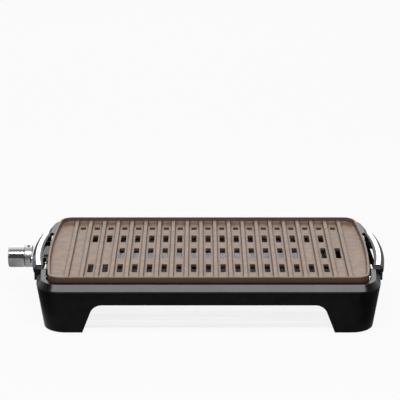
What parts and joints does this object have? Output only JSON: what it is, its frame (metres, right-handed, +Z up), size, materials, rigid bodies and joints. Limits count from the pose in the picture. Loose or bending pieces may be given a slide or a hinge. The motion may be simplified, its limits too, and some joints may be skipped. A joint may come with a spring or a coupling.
{
  "type": "smokeless indoor grill",
  "caption": "Countertop electric grill: slotted, ribbed plate with bow handles over a lift-out drip tray and an arched black base with steel reflector, and a plug-in dial control.",
  "frame": {"origin": "on the table, under the middle of the whole grill with its control plugged in; the base's own middle is at X = +18.8 mm", "axes": "+X along the grill away from the control, -Y towards the front, +Z up"},
  "size_m": [0.5656, 0.2866, 0.0844],
  "materials": {
    "base_plastic": "black moulded plastic, satin gloss",
    "grip_plastic": "black heat-resistant plastic, semi-matt",
    "nonstick": "cast aluminium with a copper-brown non-stick coat",
    "tray_aluminium": "pressed aluminium, satin",
    "reflector_steel": "bright rolled stainless steel",
    "bright_trim": "bright chromed steel",
    "bracket_steel": "zinc-plated steel",
    "screw_steel": "zinc-plated steel",
    "element_steel": "sheathed heating element, dull",
    "foot_rubber": "black rubber",
    "bead_ceramic": "steatite",
    "contact_brass": "brass, plain",
    "lens": "clear red",
    "lamp": "neon lamp envelope"
  },
  "bodies": {
    "base": {"base_shell": "base_plastic", "steel_reflector": "reflector_steel", "reflector_screws": "screw_steel", "rubber_feet": "foot_rubber", "rest_clips": "bright_trim"},
    "tray": {"drip_tray": "tray_aluminium"},
    "plate": {"grill_plate": "nonstick", "heating_element": "element_steel", "terminal_pins": "bracket_steel", "terminal_insulators": "bead_ceramic", "socket_guard": "grip_plastic", "socket_guard_screws": "screw_steel", "left_handle_grip": "grip_plastic", "right_handle_grip": "grip_plastic", "left_handle_trim": "bright_trim", "right_handle_trim": "bright_trim", "handle_brackets": "bracket_steel", "bracket_screws": "screw_steel", "grip_screws": "screw_steel"},
    "control": {"upper_housing": "bright_trim", "lower_housing": "bright_trim", "housing_screws": "screw_steel", "temperature_probe": "bracket_steel", "contact_sockets": "contact_brass", "thermostat_frame": "bracket_steel", "bimetal_blade": "contact_brass", "contact_points": "contact_brass", "cord_gland": "foot_rubber", "indicator_lens": "lens", "indicator_lamp": "lamp"},
    "dial": {"dial_knob": "grip_plastic", "dial_sleeve": "bright_trim", "dial_face": "bright_trim", "dial_spindle": "bracket_steel", "spindle_clip": "screw_steel"}
  },
  "joints": [
    {"name": "tray_lift", "type": "slide", "parent": "base", "child": "tray", "axis": [0, 0, 1], "range_m": [0, 0.14]},
    {"name": "plate_lift", "type": "slide", "parent": "tray", "child": "plate", "axis": [0, 0, 1], "range_m": [0, 0.093]},
    {"name": "control_unplug", "type": "slide", "parent": "plate", "child": "control", "axis": [1, 0, 0], "range_m": [-0.11, 0]},
    {"name": "dial_turn", "type": "hinge", "parent": "control", "child": "dial", "pos_m": [-0.2712, 0, 0.067], "axis": [1, 0, 0], "range_deg": [0, 270]}
  ]
}
